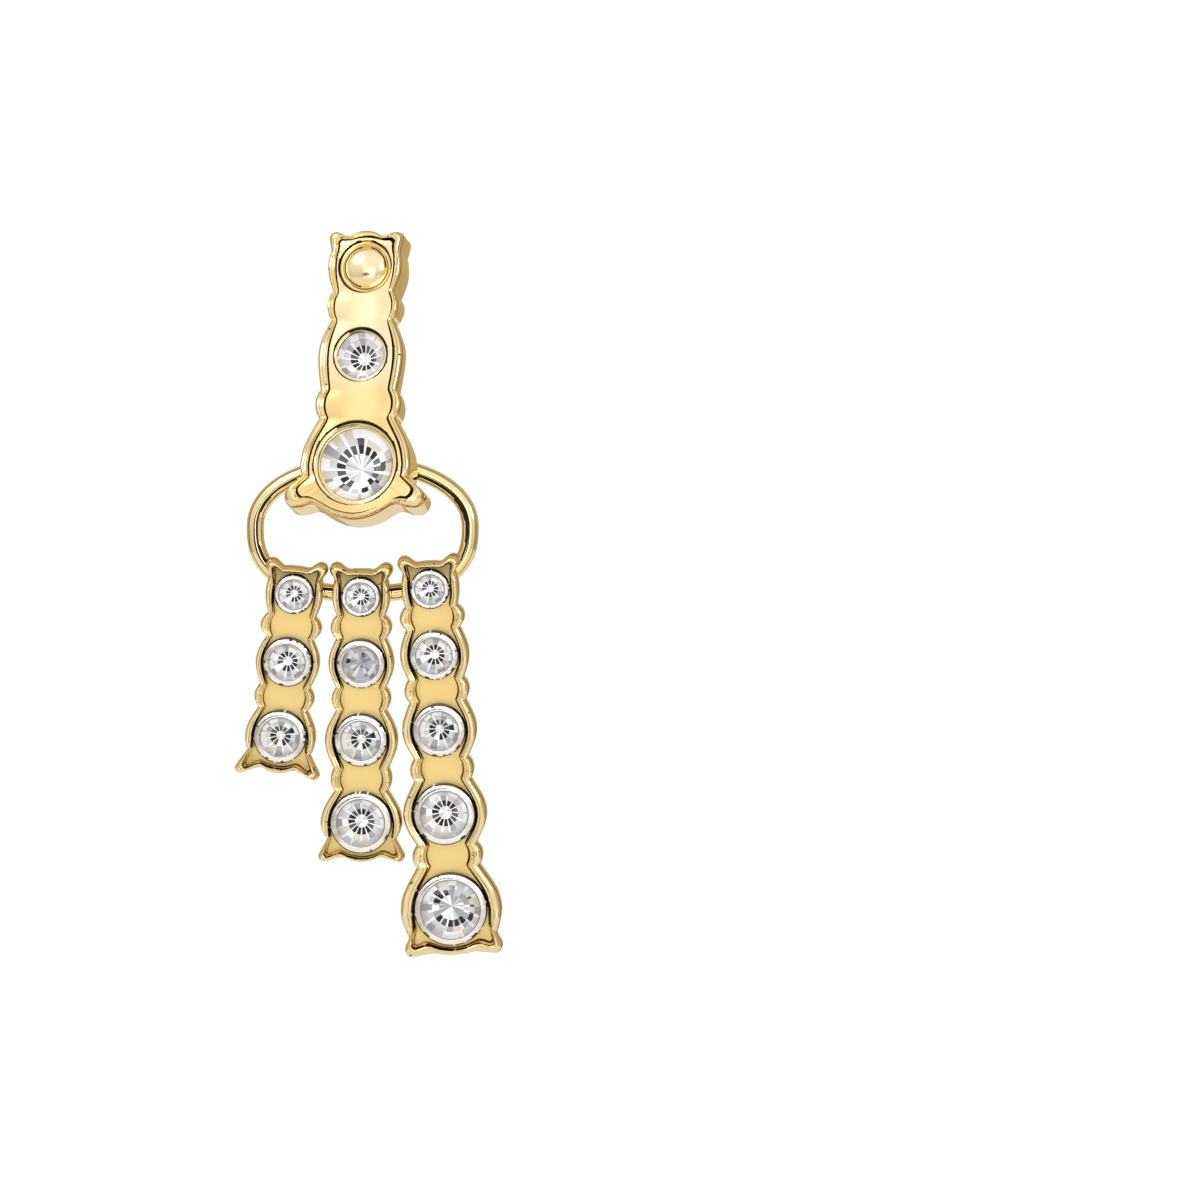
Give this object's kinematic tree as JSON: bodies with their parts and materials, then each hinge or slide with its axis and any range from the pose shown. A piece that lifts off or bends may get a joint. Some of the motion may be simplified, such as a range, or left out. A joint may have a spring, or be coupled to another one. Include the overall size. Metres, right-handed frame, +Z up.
{
  "type": "chandelier earring",
  "caption": "Chandelier drop earring: a gold ear bar set with stones on a post, an oval ring below it, and stone-set scalloped drops hanging from the ring.",
  "frame": {"origin": "where the straight post leaves the back of the ear bar, at the ear lobe", "axes": "+Z up along the hanging earring, -Y towards the viewer of its front, +X to the viewer's right"},
  "size_m": [0.0274, 0.021, 0.0746],
  "materials": {
    "polished_gold": "mirror polish",
    "tray_gold": "satin floor with a polished rim",
    "white_metal": "polished",
    "cut_stone": "faceted"
  },
  "bodies": {
    "ear_piece": {"ear_bar": "polished_gold", "ear_post": "polished_gold", "ear_bar_stone_small": "cut_stone", "ear_bar_stone_large": "cut_stone"},
    "ring": {"hanging_ring": "polished_gold"},
    "drop_short": {"drop_short_tray": "tray_gold", "drop_short_collet_1": "white_metal", "drop_short_stone_1": "cut_stone", "drop_short_collet_2": "white_metal", "drop_short_stone_2": "cut_stone", "drop_short_collet_3": "white_metal", "drop_short_stone_3": "cut_stone"},
    "drop_middle": {"drop_middle_tray": "tray_gold", "drop_middle_collet_1": "white_metal", "drop_middle_stone_1": "cut_stone", "drop_middle_collet_2": "white_metal", "drop_middle_stone_2": "cut_stone", "drop_middle_collet_3": "white_metal", "drop_middle_stone_3": "cut_stone", "drop_middle_collet_4": "white_metal", "drop_middle_stone_4": "cut_stone"},
    "drop_long": {"drop_long_tray": "tray_gold", "drop_long_collet_1": "white_metal", "drop_long_stone_1": "cut_stone", "drop_long_collet_2": "white_metal", "drop_long_stone_2": "cut_stone", "drop_long_collet_3": "white_metal", "drop_long_stone_3": "cut_stone", "drop_long_collet_4": "white_metal", "drop_long_stone_4": "cut_stone", "drop_long_collet_5": "white_metal", "drop_long_stone_5": "cut_stone"}
  },
  "joints": [
    {"name": "ring_swing", "type": "hinge", "parent": "ear_piece", "child": "ring", "pos_m": [-0.00087, -0.00236, -0.01944], "axis": [1, 0, 0], "range_deg": [-20, 20]},
    {"name": "drop_short_swing", "type": "hinge", "parent": "ring", "child": "drop_short", "pos_m": [-0.00763, -0.00236, -0.03187], "axis": [1, 0, 0], "range_deg": [-20, 20]},
    {"name": "drop_middle_swing", "type": "hinge", "parent": "ring", "child": "drop_middle", "pos_m": [-0.0008, -0.00236, -0.03267], "axis": [1, 0, 0], "range_deg": [-20, 20]},
    {"name": "drop_long_swing", "type": "hinge", "parent": "ring", "child": "drop_long", "pos_m": [0.0063, -0.00236, -0.03172], "axis": [1, 0, 0], "range_deg": [-20, 20]}
  ]
}
